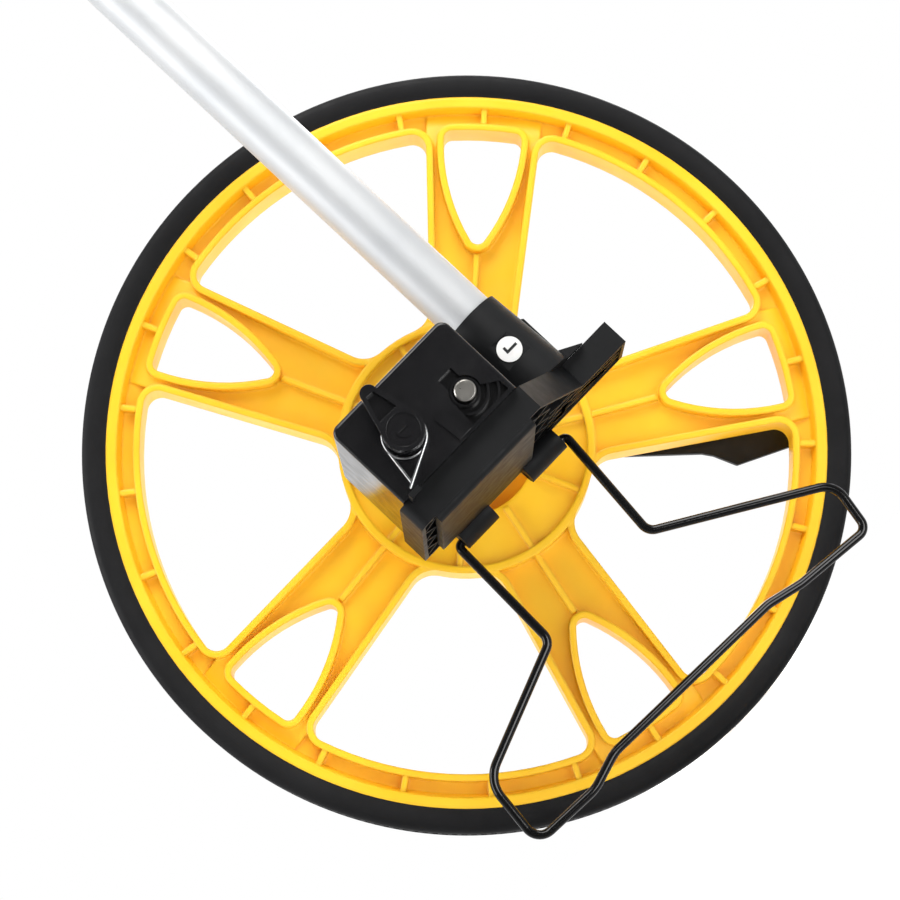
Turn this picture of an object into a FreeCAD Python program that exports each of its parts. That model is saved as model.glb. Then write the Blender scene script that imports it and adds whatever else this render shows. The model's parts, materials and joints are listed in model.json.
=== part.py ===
import FreeCAD, Part
import math
import os

# Measuring wheel, standing on its tyre with the handle straight up. Millimetres.
# +Z up along the handle, Y along the axle, the counter side at -Y, X to the right seen from the counter.
# The origin is the point where the middle of the tyre touches the ground.
# "rise" is a height measured from the axle's centre line.

V = FreeCAD.Vector
X_AXIS = V(1, 0, 0)
Y_AXIS = V(0, 1, 0)
Z_AXIS = V(0, 0, 1)

# ---- wheel ----
circumference = 1000.0
wheel_radius = circumference / (2 * math.pi)
axle_z = wheel_radius
tyre_half_width = 10.0
rim_radius = 149.0
rim_half_width = 9.2
rim_lip = 4.4
rim_inner_radius = 135.0
rim_draft = 1.4
web_half = 3.0
spoke_count = 5
spoke_angle = -31.4
spoke_top_half = 24.2
spoke_foot_half = 17.4
wall = 2.8
wall_half_width = 8.6
window_half_width = 16.4
window_tip_radius = 83.0
hub_ring_radius = 53.0
hub_boss_radius = 17.0
hub_boss_front = -15.0
hub_boss_back = 13.0
hub_cup_radius = 31.0
hub_shelf_front = -5.5
hub_cup_floor = 9.0
rib_count = 25
rib_thickness = 2.4

# ---- axle and drive ----
axle_radius = 4.2
running_gap = 0.05
bush_radius = 8.0
sleeve_radius = 7.2
gear_teeth = 24
gear_module = 0.76
gear_y = (-104.0, -98.0)
quill_radius = 5.6

# ---- counter box ----
box_left = -46.4
box_right = 14.4
box_bottom = -12.5
box_top = 26.0
box_back = -38.0
box_front = -124.0
cover_front = -130.0
shell_wall = 2.0
drum_x = -14.0
drum_rise = math.sqrt((gear_teeth * gear_module) ** 2 - drum_x ** 2)
drum_radius = 11.0
drum_width = 9.6
drum_shaft_radius = 2.0
pinion_shaft_radius = 1.5
drum_pitch = 10.0
drum_count = 5
first_drum_y = -96.5
cheek_front_y = -108.0
cheek_back_y = -44.2
cheek_thickness = 2.0

# ---- bracket beam ----
beam_left = -48.6
beam_right = 66.3
beam_top = box_bottom
beam_bottom = -24.0
beam_front = -125.5
beam_back = -38.0
arm_front = -70.0
slope_start = 15.9
slope_end = 41.9
beam_wall = 2.0
beam_corner = 4.5
panel_left = -41.2
panel_right = 10.0
panel_bottom = -27.2

# ---- handle ----
tube_x = 30.0
tube_y = -72.0
tube_radius = 11.0
tube_wall = 1.2
tube_foot = -8.0
fold_rise = 432.0
fold_offset = 27.5
handle_top = 880.0
grip_length = 128.0
grip_radius = 15.5

socket_foot_radius = 15.0
socket_top_radius = 12.8
socket_top = 26.0
flange_depth = 6.0
socket_screw_place = (45.0, 8.0)
screw_radius = 1.3
screw_head_radius = 2.8
screw_head_height = 2.0

# ---- stand ----
wire_radius = 1.9
stand_x = -3.9
stand_y = -36.0
stand_rise = -29.3
boss_radius = 6.0
boss_y = stand_y - 3.0
boss_rise = stand_rise + 1.9
pin_reach = 31.3
bend_radius = 2.2

# ---- reset lever ----
lever_x = -28.2
lever_rise = 4.2
lever_boss_radius = 7.2
lever_front = cover_front - 18.0
lever_thickness = 6.0
lever_round = 8.0
lever_tip = 3.4
lever_reach = 18.5
lever_cap_radius = 3.0
lever_shaft_radius = 4.0
coil_radius = 8.3
coil_pitch = 1.0
coil_first_y = cover_front - 2.0
spring_wire = 0.6


def box(x0, x1, y0, y1, rise0, rise1):
    return Part.makeBox(x1 - x0, y1 - y0, rise1 - rise0, V(x0, y0, axle_z + rise0))


def rod_y(radius, x, rise, y0, y1):
    return Part.makeCylinder(radius, y1 - y0, V(x, y0, axle_z + rise), Y_AXIS)


def rod_z(radius, x, y, rise0, rise1):
    return Part.makeCylinder(radius, rise1 - rise0, V(x, y, axle_z + rise0), Z_AXIS)


def rod_x(radius, y, rise, x0, x1):
    return Part.makeCylinder(radius, x1 - x0, V(x0, y, axle_z + rise), X_AXIS)


def tube_y_axis(outer, inner, x, rise, y0, y1):
    return rod_y(outer, x, rise, y0, y1).cut(rod_y(inner, x, rise, y0 - 1, y1 + 1))


def prism_y(points, y0, y1):
    """A prism along Y from an (x, rise) outline."""
    corners = [V(x, y0, axle_z + rise) for x, rise in points]
    face = Part.Face(Part.makePolygon(corners + corners[:1]))
    return face.extrude(V(0, y1 - y0, 0))


def prism_z(points, rise0, rise1):
    """A prism along Z from an (x, y) outline."""
    corners = [V(x, y, axle_z + rise0) for x, y in points]
    face = Part.Face(Part.makePolygon(corners + corners[:1]))
    return face.extrude(V(0, 0, rise1 - rise0))


def edges_along(shape, axis):
    """The straight edges of a shape that run along one axis."""
    found = []
    for edge in shape.Edges:
        if isinstance(edge.Curve, Part.Line) and abs(abs(edge.Curve.Direction.dot(axis)) - 1) < 1e-6:
            found.append(edge)
    return found


def spin(shape, degrees, x=0.0, rise=0.0):
    turned = shape.copy()
    turned.rotate(V(x, 0, axle_z + rise), Y_AXIS, degrees)
    return turned


def fuse_all(shapes):
    return shapes[0].multiFuse(shapes[1:]).removeSplitter()


def polar(radius, degrees):
    return radius * math.cos(math.radians(degrees)), radius * math.sin(math.radians(degrees))


def top_edges_along_y(shape):
    """The edges along Y in the upper half of a shape."""
    middle = shape.BoundBox.Center.z
    return [edge for edge in edges_along(shape, Y_AXIS) if edge.BoundBox.ZMin > middle]


def lower_edges_along_x(shape):
    """The edges along X in the lower half of a shape."""
    middle = shape.BoundBox.Center.z
    return [edge for edge in edges_along(shape, X_AXIS) if edge.BoundBox.ZMax < middle]


def rounded_path(points, radii):
    """A wire of straight runs joined by tangent arcs, one radius for each inner point."""
    edges = []
    start = points[0]
    for index in range(1, len(points) - 1):
        corner = points[index]
        before = (points[index - 1] - corner).normalize()
        after = (points[index + 1] - corner).normalize()
        half_angle = before.getAngle(after) / 2
        reach = radii[index - 1] / math.tan(half_angle)
        first = corner + before * reach
        last = corner + after * reach
        middle_way = (before + after).normalize()
        centre = corner + middle_way * (radii[index - 1] / math.sin(half_angle))
        middle = centre - middle_way * radii[index - 1]
        edges.append(Part.LineSegment(start, first).toShape())
        edges.append(Part.Arc(first, middle, last).toShape())
        start = last
    edges.append(Part.LineSegment(start, points[-1]).toShape())
    return Part.Wire(edges)


# ---------------------------------------------------------------- wheel

def spoke_blank(grow):
    """One spoke's outline, drawn in by an amount, pointing along +X before it is turned."""
    foot = hub_ring_radius - 8
    top = rim_inner_radius + 6
    foot_half = spoke_foot_half - grow
    top_half = spoke_top_half + 0.5 - grow
    return prism_y([(foot, -foot_half), (top, -top_half), (top, top_half), (foot, foot_half)], -20, 20)


def corner_edges(solid, wanted):
    """The edges along Y whose distance from the axle passes a test."""
    found = []
    for edge in edges_along(solid, Y_AXIS):
        point = edge.Vertexes[0].Point
        if wanted(math.hypot(point.x, point.z - axle_z)):
            found.append(edge)
    return found


def large_openings(grow):
    """The five gaps between the spokes, each made larger all round by an amount."""
    ring = tube_y_axis(rim_inner_radius + grow, hub_ring_radius - grow, 0, 0, -20, 20)
    for k in range(spoke_count):
        ring = ring.cut(spin(spoke_blank(grow), -(spoke_angle + k * 360 / spoke_count)))
    openings = []
    for solid in ring.Solids:
        inner = corner_edges(solid, lambda radius: radius < 60)
        rounded = solid.makeFillet(11.0 + grow, inner)
        outer = corner_edges(rounded, lambda radius: radius > 130)
        openings.append(rounded.makeFillet(6.0 + grow, outer))
    return openings


def shield_window(grow):
    """One spoke's pointed-arch window, made larger all round by an amount, pointing along +X."""
    shoulder = rim_inner_radius - 2
    drop = shoulder - window_tip_radius
    arch = (window_half_width ** 2 + drop ** 2) / (2 * window_half_width)
    centre = window_half_width - arch
    radius = arch + grow
    half = window_half_width + grow
    tip_x = shoulder - math.sqrt(radius ** 2 - centre ** 2)
    crown_radius = rim_inner_radius + grow
    crown_x = math.sqrt(crown_radius ** 2 - half ** 2)
    sweep = math.asin((shoulder - tip_x) / radius) / 2
    mid_x = shoulder - radius * math.sin(sweep)
    mid_rise = centre + radius * math.cos(sweep)

    def at(x, rise):
        return V(x, -20, axle_z + rise)

    outline = Part.Wire([
        Part.Arc(at(tip_x, 0), at(mid_x, mid_rise), at(shoulder, half)).toShape(),
        Part.LineSegment(at(shoulder, half), at(crown_x, half)).toShape(),
        Part.Arc(at(crown_x, half), at(crown_radius, 0), at(crown_x, -half)).toShape(),
        Part.LineSegment(at(crown_x, -half), at(shoulder, -half)).toShape(),
        Part.Arc(at(shoulder, -half), at(mid_x, -mid_rise), at(tip_x, 0)).toShape()])
    solid = Part.Face(outline).extrude(V(0, 40, 0))
    corners = []
    for edge in edges_along(solid, Y_AXIS):
        x = edge.Vertexes[0].Point.x
        if abs(x - tip_x) < 0.01 or abs(x - crown_x) < 0.01:
            corners.append(edge)
    return solid.makeFillet(3.5 + grow, corners)


def spoke_ramp():
    """The spoke's floor rising towards the rim and falling into its channel, along +X before it is turned."""
    near = [(104.0, web_half), (118.0, 4.8), (128.0, 6.2), (rim_inner_radius + 1, 5.0), (142.0, web_half)]
    outline = [(x, -y) for x, y in near] + [(x, y) for x, y in reversed(near)]
    corners = [V(x, y, axle_z - spoke_top_half) for x, y in outline]
    face = Part.Face(Part.makePolygon(corners + corners[:1]))
    return face.extrude(V(0, 0, 2 * spoke_top_half))


def spoke_turns(count):
    """The turns that share out a number of copies round the wheel, starting at the first spoke."""
    return [-(spoke_angle + k * 360 / count) for k in range(count)]


def wheel_moulding():
    """Rim, web, spokes and hub in one moulding: walls follow every opening, thin ribs fill the channels."""
    windows = [spin(shield_window(0), turn) for turn in spoke_turns(spoke_count)]
    wall_blocks = large_openings(wall)
    wall_blocks += [spin(shield_window(wall), turn) for turn in spoke_turns(spoke_count)]
    band = rod_y(rim_radius, 0, 0, -wall_half_width, wall_half_width)
    pieces = [rod_y(rim_inner_radius + 4, 0, 0, -web_half, web_half)]
    pieces.append(rim_band())
    pieces.append(tube_y_axis(rim_radius - 1, rim_inner_radius + 1, 0, 0, -web_half, web_half))
    pieces += [block.common(band) for block in wall_blocks]
    pieces += [spin(spoke_ramp(), turn) for turn in spoke_turns(spoke_count)]
    pieces.append(tube_y_axis(hub_ring_radius + 0.6, hub_ring_radius - wall, 0, 0,
                              -rim_half_width, rim_half_width))
    shelf = rod_y(hub_ring_radius - 1, 0, 0, hub_shelf_front, hub_shelf_front + 2.6)
    cup = rod_y(hub_cup_radius, 0, 0, hub_shelf_front, hub_cup_floor + 2.6)
    cup_space = tube_y_axis(hub_cup_radius - 2.6, hub_boss_radius, 0, 0, hub_shelf_front - 1, hub_cup_floor)
    pieces += [shelf, cup]
    pieces.append(rod_y(hub_boss_radius, 0, 0, hub_boss_front, hub_boss_back))
    rib_sets = ((rib_count, rim_inner_radius + 1, rim_radius - 1, rim_half_width - 1.4),
                (2 * spoke_count, hub_cup_radius - 1, hub_ring_radius - 1, 7.6),
                (spoke_count, hub_ring_radius - 1, window_tip_radius - 1, wall_half_width - 2))
    for count, inside, outside, half_width in rib_sets:
        rib = box(inside, outside, -half_width, half_width, -rib_thickness / 2, rib_thickness / 2)
        pieces += [spin(rib, turn) for turn in spoke_turns(count)]
    moulding = pieces[0].multiFuse(pieces[1:])
    bore = rod_y(bush_radius, 0, 0, hub_boss_front - 1, hub_boss_back + 1)
    return moulding.cut(large_openings(0) + windows + [bore, cup_space]).removeSplitter()


def ring_about_axle(outline):
    """A solid of revolution about the axle from a (radius, y) outline."""
    corners = [V(radius, 0, -y) for radius, y in outline]
    face = Part.Face(Part.makePolygon(corners + corners[:1]))
    ring = face.revolve(V(0, 0, 0), Z_AXIS, 360)
    ring.rotate(V(0, 0, 0), X_AXIS, 90)
    ring.translate(V(0, 0, axle_z))
    return ring


def rim_band():
    """The rim's outer lip, thicker towards the web as a mould's draft leaves it."""
    lip = rim_radius - rim_lip
    side = [(rim_radius, rim_half_width), (lip, rim_half_width), (lip - rim_draft, web_half)]
    return ring_about_axle(side + [(radius, -y) for radius, y in reversed(side)])


def tyre():
    """Rubber ring with a rounded tread, moulded on the rim."""
    side = [(rim_radius, tyre_half_width), (wheel_radius - 3.0, tyre_half_width),
            (wheel_radius - 0.8, tyre_half_width - 2.2), (wheel_radius, tyre_half_width - 5.0)]
    return ring_about_axle(side + [(radius, -y) for radius, y in reversed(side)])


def involute_point(base, radius, turn, side):
    """A point on an involute flank, turned by an angle and mirrored to one side."""
    roll = math.sqrt(max((radius / base) ** 2 - 1, 0))
    angle = turn - side * (roll - math.atan(roll))
    return radius * math.cos(angle), radius * math.sin(angle)


def spur_gear(teeth, y0, y1, x, rise, start_angle, backlash=0.12):
    """A spur gear along Y with one tooth centred on start_angle (degrees from +X towards +Z)."""
    pitch = teeth * gear_module / 2
    base = pitch * math.cos(math.radians(20))
    tip = pitch + 0.9 * gear_module
    root = pitch - 1.2 * gear_module
    pitch_roll = math.sqrt((pitch / base) ** 2 - 1)
    half_tooth = math.pi / (2 * teeth) - backlash / (2 * pitch) + pitch_roll - math.atan(pitch_roll)
    low = max(base, root)
    points = []
    for k in range(teeth):
        centre = math.radians(start_angle) + 2 * math.pi * k / teeth
        points.append((root * math.cos(centre - half_tooth), root * math.sin(centre - half_tooth)))
        for step in range(4):
            radius = low + (tip - low) * step / 3
            points.append(involute_point(base, radius, centre - half_tooth, -1))
        for step in range(3, -1, -1):
            radius = low + (tip - low) * step / 3
            points.append(involute_point(base, radius, centre + half_tooth, 1))
        points.append((root * math.cos(centre + half_tooth), root * math.sin(centre + half_tooth)))
    return prism_y([(x + px, rise + pz) for px, pz in points], y0, y1)


def mesh_angle():
    """Direction from the axle to the drum shaft, in degrees from +X."""
    return math.degrees(math.atan2(drum_rise, drum_x))


def wheel_parts():
    sleeve = rod_y(sleeve_radius, 0, 0, cheek_back_y - 0.5, hub_boss_front)
    quill = rod_y(quill_radius, 0, 0, gear_y[1], cheek_back_y - 0.5)
    flange = rod_y(hub_boss_radius - 3, 0, 0, hub_boss_front - 2.5, hub_boss_front)
    gear = spur_gear(gear_teeth, gear_y[0], gear_y[1], 0, 0, mesh_angle())
    drive = fuse_all([sleeve, quill, flange, gear])
    drive = drive.cut(rod_y(axle_radius + running_gap, 0, 0, gear_y[0] - 1, hub_boss_front + 1))
    bush_bore = axle_radius + running_gap
    front = tube_y_axis(bush_radius, bush_bore, 0, 0, hub_boss_front, -4)
    back = tube_y_axis(bush_radius, bush_bore, 0, 0, 4, hub_boss_back)
    back_flange = tube_y_axis(bush_radius + 3, bush_bore, 0, 0, hub_boss_back, hub_boss_back + 1)
    return {"tyre": tyre(), "wheel_moulding": wheel_moulding(), "drive_sleeve": drive,
            "hub_bush_front": front, "hub_bush_back": back.fuse(back_flange).removeSplitter()}


# ---------------------------------------------------------------- counter

def counter_housing():
    """The box behind the front cover, open at its front, with the display slot in its top."""
    outer = box(box_left, box_right, box_front, box_back, box_bottom, box_top)
    outer = outer.makeFillet(4.0, top_edges_along_y(outer))
    inner = box(box_left + shell_wall, box_right - shell_wall, box_front - 1, box_back - shell_wall,
                box_bottom + shell_wall, box_top - shell_wall)
    slot = box(drum_x - 8.5, drum_x + 8.5, first_drum_y - 1.5,
               first_drum_y + drum_count * drum_pitch + 1.5, box_top - shell_wall - 1, box_top + 1)
    sleeve_hole = rod_y(sleeve_radius + 1.0, 0, 0, box_back - 5, box_back + 1)
    shell = outer.cut(inner).cut(slot).cut(sleeve_hole)
    return shell


def window_lens():
    """Clear strip over the digits: a plate under the slot with a raised part in the slot."""
    y0 = first_drum_y - 1.3
    y1 = first_drum_y + drum_count * drum_pitch + 1.3
    pane = box(drum_x - 8.3, drum_x + 8.3, y0, y1, box_top - shell_wall, box_top - 0.4)
    tray = box(drum_x - 11, drum_x + 11, y0 - 2.5, y1 + 2.5, box_top - shell_wall - 1, box_top - shell_wall)
    return fuse_all([pane, tray])


def counter_cover():
    """Front cover with the axle's well, the key notch, the open pocket below it and a raised pad."""
    plate = box(box_left, box_right, cover_front, box_front, box_bottom, box_top)
    plate = plate.makeFillet(4.0, top_edges_along_y(plate))
    front_edges = []
    for edge in plate.Edges:
        if edge.BoundBox.YMax < cover_front + 0.01 and edge.BoundBox.ZMax > axle_z + box_bottom + 0.1:
            front_edges.append(edge)
    plate = plate.makeFillet(1.6, front_edges)
    floor = cover_front + 4.0
    well = rod_y(6.2, 0, 0, cover_front - 1, floor)
    notch = box(-4.0, 2.8, cover_front - 1, floor - 1, 0, 10.2)
    pocket = prism_y([(-6.2, -1.5), (5.0, -1.5), (12.0, -6.5), (12.0, box_bottom + 1.6),
                      (-7.0, box_bottom + 1.6)], cover_front - 1, floor)
    plate = plate.cut(well).cut(notch).cut(pocket)
    ring = tube_y_axis(5.8, 4.9, 0, 0, cover_front + 0.8, floor)
    fins = []
    for radius in (9.2, 13.2):
        fin = tube_y_axis(radius, radius - 0.9, 0, 0, cover_front + 0.6, floor)
        keep = prism_y([(-5.8, -3.0), (11.4, -3.0), (11.4, box_bottom + 1.6), (-5.8, box_bottom + 1.6)],
                       cover_front, floor)
        fins.append(fin.common(keep))
    pad = prism_y([(-11.0, 0.6), (-15.8, 0.6), (-14.6, -11.2), (-8.6, -11.2)],
                  cover_front - 1.2, cover_front + 0.5)
    cover = fuse_all([plate, ring, pad] + fins)
    cover = cover.cut(rod_y(axle_radius, 0, 0, cover_front - 2, box_front + 1))
    bore = lever_shaft_radius + running_gap
    return cover.cut(rod_y(bore, lever_x, lever_rise, cover_front - 2, box_front + 1))


def screw_y(x, rise, head_y, direction, shank):
    """A pan-head screw along Y: its head stands towards -direction, its shank goes along direction."""
    outer_y = head_y - direction * screw_head_height
    recess_y = head_y - direction * (screw_head_height - 0.8)
    stem_y = head_y + direction * shank
    head = rod_y(screw_head_radius, x, rise, min(outer_y, head_y), max(outer_y, head_y))
    stem = rod_y(screw_radius, x, rise, min(stem_y, head_y), max(stem_y, head_y))
    y0 = min(recess_y, outer_y) - 0.05
    y1 = max(recess_y, outer_y) + 0.05
    slot = box(x - 1.7, x + 1.7, y0, y1, rise - 0.35, rise + 0.35)
    cross = box(x - 0.35, x + 0.35, y0, y1, rise - 1.7, rise + 1.7)
    return head.fuse(stem).removeSplitter().cut(slot).cut(cross)


def housing_screws():
    return Part.makeCompound([screw_y(x, rise, box_back, -1, 3.5) for x, rise in housing_screw_places()])


def housing_screw_places():
    return [(box_left + 6.5, box_top - 6.5), (box_right - 6.5, box_top - 6.5), (box_left + 6.5, -6.0)]


def drill_screws(shape, places, y0, y1):
    for x, rise in places:
        shape = shape.cut(rod_y(screw_radius, x, rise, y0, y1))
    return shape


def counter_cradle():
    """Two cheek plates joined by a side strip, which carry the drum and pinion shafts."""
    left = box_left + shell_wall
    back = cheek_back_y + cheek_thickness
    back_cheek = box(left, 9, cheek_back_y, back, -7, 20)
    front_cheek = box(left, 9, cheek_front_y, cheek_front_y + cheek_thickness, -7, 20)
    strip = box(left, left + 2.5, cheek_front_y, back, -7, 20)
    cradle = fuse_all([back_cheek, front_cheek, strip])
    cradle = cradle.cut(rod_y(drum_shaft_radius, drum_x, drum_rise, cheek_front_y - 1, back + 1))
    px, pinion_rise = pinion_place()
    cradle = cradle.cut(rod_y(pinion_shaft_radius, px, pinion_rise, cheek_front_y - 1, back + 1))
    cradle = cradle.cut(rod_y(sleeve_radius + 1.0, 0, 0, cheek_back_y - 1, back + 1))
    return cradle.cut(rod_y(axle_radius, 0, 0, cheek_front_y - 1, cheek_front_y + cheek_thickness + 1))


def pinion_place():
    """Pinion shaft: straight below the drums on their left."""
    reach = drum_radius + 4.6
    angle = math.radians(222)
    return drum_x + reach * math.cos(angle), drum_rise + reach * math.sin(angle)


def number_drum(index):
    """A number drum; the first one, at the front, carries the gear that meshes with the drive gear."""
    y0 = first_drum_y + index * drum_pitch
    y1 = y0 + drum_width
    drum = rod_y(drum_radius, drum_x, drum_rise, y0, y1)
    for k in range(10):
        notch = box(drum_x + drum_radius - 1.0, drum_x + drum_radius + 1, y1 - 1.4, y1 + 0.1,
                    drum_rise - 0.8, drum_rise + 0.8)
        drum = drum.cut(spin(notch, 18 + 36 * k, drum_x, drum_rise))
    if index == 0:
        half_tooth = 180 / gear_teeth
        gear = spur_gear(gear_teeth, gear_y[0] + 0.4, gear_y[1] - 0.4, drum_x, drum_rise,
                         mesh_angle() + 180 + half_tooth)
        neck = rod_y(5.0, drum_x, drum_rise, gear_y[1] - 0.4, y0)
        drum = fuse_all([drum, neck, gear])
    return drum.cut(rod_y(drum_shaft_radius + running_gap, drum_x, drum_rise, gear_y[0] - 1, y1 + 1))


def transfer_pinion(index):
    """A small pinion between two drums, clear of both by a fraction of a millimetre."""
    x, rise = pinion_place()
    middle = first_drum_y + (index + 1) * drum_pitch - 0.2
    body = rod_y(2.8, x, rise, middle - 2.4, middle + 2.4)
    for k in range(4):
        tooth = box(x, x + 4.1, middle - 2.2, middle + 2.2, rise - 0.7, rise + 0.7)
        body = body.fuse(spin(tooth, 90 * k, x, rise))
    bore = rod_y(pinion_shaft_radius + running_gap, x, rise, middle - 4, middle + 4)
    return body.removeSplitter().cut(bore)


def counter_parts():
    housing = drill_screws(counter_housing(), housing_screw_places(), box_back - 4, box_back + 1)
    px, prise = pinion_place()
    parts = {"counter_housing": housing, "window_lens": window_lens(), "counter_cover": counter_cover(),
             "housing_screws": housing_screws(), "counter_cradle": counter_cradle(),
             "drum_shaft": rod_y(drum_shaft_radius, drum_x, drum_rise, cheek_front_y - 1, -41.5),
             "pinion_shaft": rod_y(pinion_shaft_radius, px, prise, cheek_front_y - 1, -41.5)}
    for index in range(drum_count):
        parts["number_drum_%d" % (index + 1)] = number_drum(index)
    for index in range(drum_count - 1):
        parts["transfer_pinion_%d" % (index + 1)] = transfer_pinion(index)
    return parts


# ---------------------------------------------------------------- reset lever

def lever_parts():
    """Teardrop lever on its boss and shaft, with a sunk floor, and the round cap in its middle."""
    y_top = lever_front
    y_low = lever_front + lever_thickness
    boss_end = cover_front - 0.3
    round_end = rod_y(lever_round, lever_x, lever_rise, y_top, y_low)
    tip_x = lever_x + 0.8
    tip_rise = lever_rise + lever_reach
    tip = rod_y(lever_tip, tip_x, tip_rise, y_top, y_low)
    lean = math.asin((lever_round - lever_tip) / lever_reach)
    sides = []
    for side in (-1, 1):
        dx = side * math.cos(lean)
        dz = math.sin(lean)
        sides.append((lever_x + lever_round * dx, lever_rise + lever_round * dz))
        sides.append((tip_x + lever_tip * dx, tip_rise + lever_tip * dz))
    web = prism_y([sides[0], sides[1], sides[3], sides[2]], y_top, y_low)
    blade = fuse_all([round_end, tip, web])
    pocket = prism_y([(lever_x - 4.2, lever_rise + 8.2), (tip_x - 1.7, tip_rise - 0.5),
                      (tip_x + 1.7, tip_rise - 0.5), (lever_x + 4.6, lever_rise + 7.9)], y_top - 1, y_top + 3)
    dish = rod_y(lever_round - 1.6, lever_x, lever_rise, y_top - 1, y_top + 0.8)
    boss = rod_y(lever_boss_radius, lever_x, lever_rise, y_low, boss_end)
    shaft = rod_y(lever_shaft_radius, lever_x, lever_rise, boss_end, box_front + 6)
    arm = box(lever_x - 2, lever_x + 2, box_front + 3, box_front + 6, lever_rise - 12, lever_rise)
    lever = fuse_all([blade.cut(pocket).cut(dish), boss, shaft, arm])
    cap_back = y_top + 2.4
    lever = lever.cut(rod_y(lever_cap_radius, lever_x, lever_rise, y_top - 1, cap_back))
    cap = rod_y(lever_cap_radius, lever_x, lever_rise, y_top + 0.4, cap_back)
    cap_slot = box(lever_x - 2.2, lever_x + 2.2, y_top, y_top + 1.0, lever_rise - 0.4, lever_rise + 0.4)
    return {"reset_lever": lever, "lever_cap": cap.cut(cap_slot)}


def tangent_start(end_x, end_rise, side):
    """Where a straight leg that ends at a point meets the coil, a little past its tangent point."""
    dx = end_x - lever_x
    dz = end_rise - lever_rise
    away = math.atan2(dz, dx) + side * math.acos(coil_radius / math.hypot(dx, dz)) - side * 0.25
    return lever_x + coil_radius * math.cos(away), lever_rise + coil_radius * math.sin(away)


def spring_parts():
    """Torsion spring: coils round the boss and two straight legs held by the hooked post."""
    pieces = []
    for turn in range(3):
        centre = V(lever_x, coil_first_y - turn * coil_pitch, axle_z + lever_rise)
        pieces.append(Part.makeTorus(coil_radius, spring_wire, centre, Y_AXIS))
    legs = ((-41.2, box_bottom + 1.5, 1, coil_first_y - 2 * coil_pitch),
            (-39.0, box_bottom + 2.6, -1, coil_first_y))
    for end_x, end_rise, side, y in legs:
        x, rise = tangent_start(end_x, end_rise, side)
        start = V(x, y, axle_z + rise)
        run = V(end_x, y, axle_z + end_rise) - start
        pieces.append(Part.makeCylinder(spring_wire, run.Length, start, run))
    post = box(-43.4, -41.9, cover_front - 6.2, beam_front, box_bottom - 2.0, box_bottom - 0.1)
    hook = box(-43.4, -38.2, cover_front - 6.2, cover_front - 5.4, box_bottom - 2.0, box_bottom + 0.2)
    return {"torsion_spring": fuse_all(pieces), "spring_post": fuse_all([post, hook])}


# ---------------------------------------------------------------- bracket

def beam_front_at(x):
    """The Y of the beam's front face: level, then sloping back, then level along the side arm."""
    if x <= slope_start:
        return beam_front
    if x >= slope_end:
        return arm_front
    return beam_front + (arm_front - beam_front) * (x - slope_start) / (slope_end - slope_start)


def round_left_corner(solid, radius):
    """Rounds the upright edge at the beam's front left corner."""
    left = solid.BoundBox.XMin
    front = solid.BoundBox.YMin
    corner = [edge for edge in edges_along(solid, Z_AXIS)
              if edge.BoundBox.XMax < left + 0.1 and edge.BoundBox.YMax < front + 0.1]
    return solid.makeFillet(radius, corner)


def bracket_beam():
    """Channel open downwards, with crossing ribs, that steps back into the side arm."""
    side = [(beam_left, beam_back), (beam_left, beam_front), (slope_start, beam_front),
            (slope_end, arm_front), (beam_right, arm_front), (beam_right, beam_back)]
    outer = round_left_corner(prism_z(side, beam_bottom, beam_top), beam_corner)
    t = beam_wall
    hollow = [(beam_left + t, beam_back - t), (beam_left + t, beam_front + t),
              (slope_start - 0.6, beam_front + t), (slope_end - 0.6, arm_front + t),
              (beam_right - t, arm_front + t), (beam_right - t, beam_back - t)]
    inside = round_left_corner(prism_z(hollow, beam_bottom - 1, beam_top - t), beam_corner - t)
    channel = outer.cut(inside)
    pieces = [channel]
    pitch = 14.0
    count = int((beam_right - beam_left) / pitch)
    for k in range(count + 1):
        x0 = beam_left + 1.2 + k * pitch
        x1 = min(x0 + pitch, beam_right - 1)
        for first, last in ((x0, x1), (x1, x0)):
            steps = 4
            depth0 = beam_back - 1
            front_here = max(beam_front_at(x0), beam_front_at(x1)) + 1
            for step in range(steps):
                y0 = depth0 + (front_here - depth0) * step / steps
                y1 = depth0 + (front_here - depth0) * (step + 1) / steps
                if step % 2 == 0:
                    a, b = first, last
                else:
                    a, b = last, first
                pieces.append(flat_rib(a, y0, b, y1))
    return fuse_all(pieces).common(outer)


def flat_rib(x0, y0, x1, y1):
    """A thin upright rib inside the channel from one (x, y) point to another."""
    length = math.hypot(x1 - x0, y1 - y0)
    nx = -(y1 - y0) / length * 0.6
    ny = (x1 - x0) / length * 0.6
    outline = [(x0 + nx, y0 + ny), (x1 + nx, y1 + ny), (x1 - nx, y1 - ny), (x0 - nx, y0 - ny)]
    return prism_z(outline, beam_bottom + 0.6, beam_top - 1)


def stand_panel():
    """Closing plate under the beam with the two bosses that hold the wire stand."""
    plate = box(panel_left, panel_right, beam_front, beam_back, panel_bottom, beam_bottom)
    plate = plate.makeFillet(2.6, lower_edges_along_x(plate))
    lighten = box(panel_left + 3, panel_right - 3, beam_front + 4, beam_back - 8,
                  panel_bottom + 2, beam_bottom + 1)
    plate = plate.cut(lighten)
    leg_room = box(panel_left - 1, stand_x - 28.4, stand_y - 12.0, beam_back + 1,
                   panel_bottom - 1, beam_bottom + 1)
    plate = plate.cut(leg_room)
    bosses = []
    for x0, x1 in boss_spans():
        bosses.append(rod_x(boss_radius, boss_y, boss_rise, x0, x1))
        bosses.append(box(x0, x1, boss_y - 5.0, boss_y + 3.0, boss_rise, beam_bottom))
    above = box(panel_left, panel_right + 20, beam_front, beam_back + 10, beam_bottom, beam_top)
    panel = fuse_all([plate] + bosses).cut(above)
    return panel.cut(rod_x(wire_radius + running_gap, stand_y, stand_rise, -60, 40))


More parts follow.
